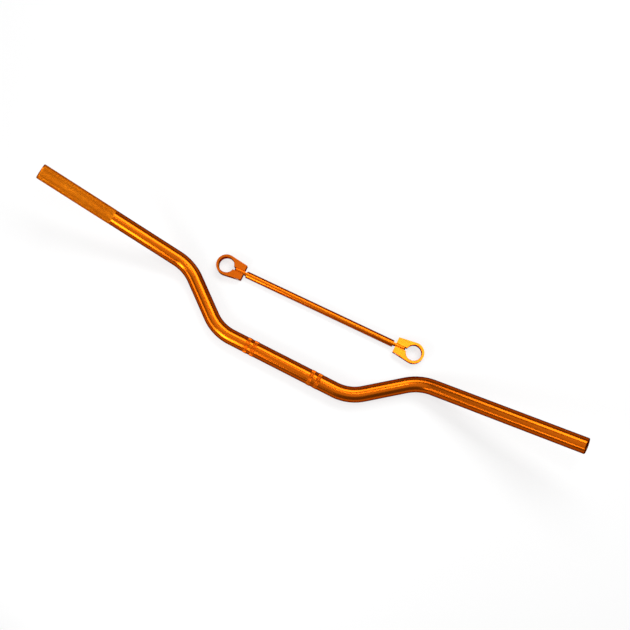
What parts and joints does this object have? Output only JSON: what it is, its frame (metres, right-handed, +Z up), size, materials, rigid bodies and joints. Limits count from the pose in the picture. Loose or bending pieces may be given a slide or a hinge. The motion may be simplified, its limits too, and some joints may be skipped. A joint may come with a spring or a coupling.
{
  "type": "motocross handlebar",
  "caption": "Motocross handlebar of bent aluminium tube with a knurled left grip seat, its crossbar with swivelling split clamps lying loose beside it.",
  "frame": {"origin": "middle of the clamp zone, on the tube's axis", "axes": "+X towards the rider's right grip, +Y the way the risers climb, +Z up from the surface the bar lies on"},
  "size_m": [0.827, 0.1231, 0.1009],
  "materials": {
    "orange_anodised": "bright satin, orange anodised",
    "bolt_steel": "zinc-plated"
  },
  "bodies": {
    "bar": {"handlebar": "orange_anodised", "crossbar_rod": "orange_anodised"},
    "left_clamp_body": {"left_clamp": "orange_anodised", "left_pinch_bolt": "bolt_steel"},
    "right_clamp_body": {"right_clamp": "orange_anodised", "right_pinch_bolt": "bolt_steel"}
  },
  "joints": [
    {"name": "left_clamp_swivel", "type": "hinge", "parent": "bar", "child": "left_clamp_body", "pos_m": [-0.11651, 0.08969, -0.006], "axis": [-0.0262, 0.9997, 0], "range_deg": [0, 58]},
    {"name": "right_clamp_swivel", "type": "hinge", "parent": "bar", "child": "right_clamp_body", "pos_m": [0.13651, 0.09631, -0.006], "axis": [0.0262, -0.9997, 0], "range_deg": [0, 58]}
  ]
}
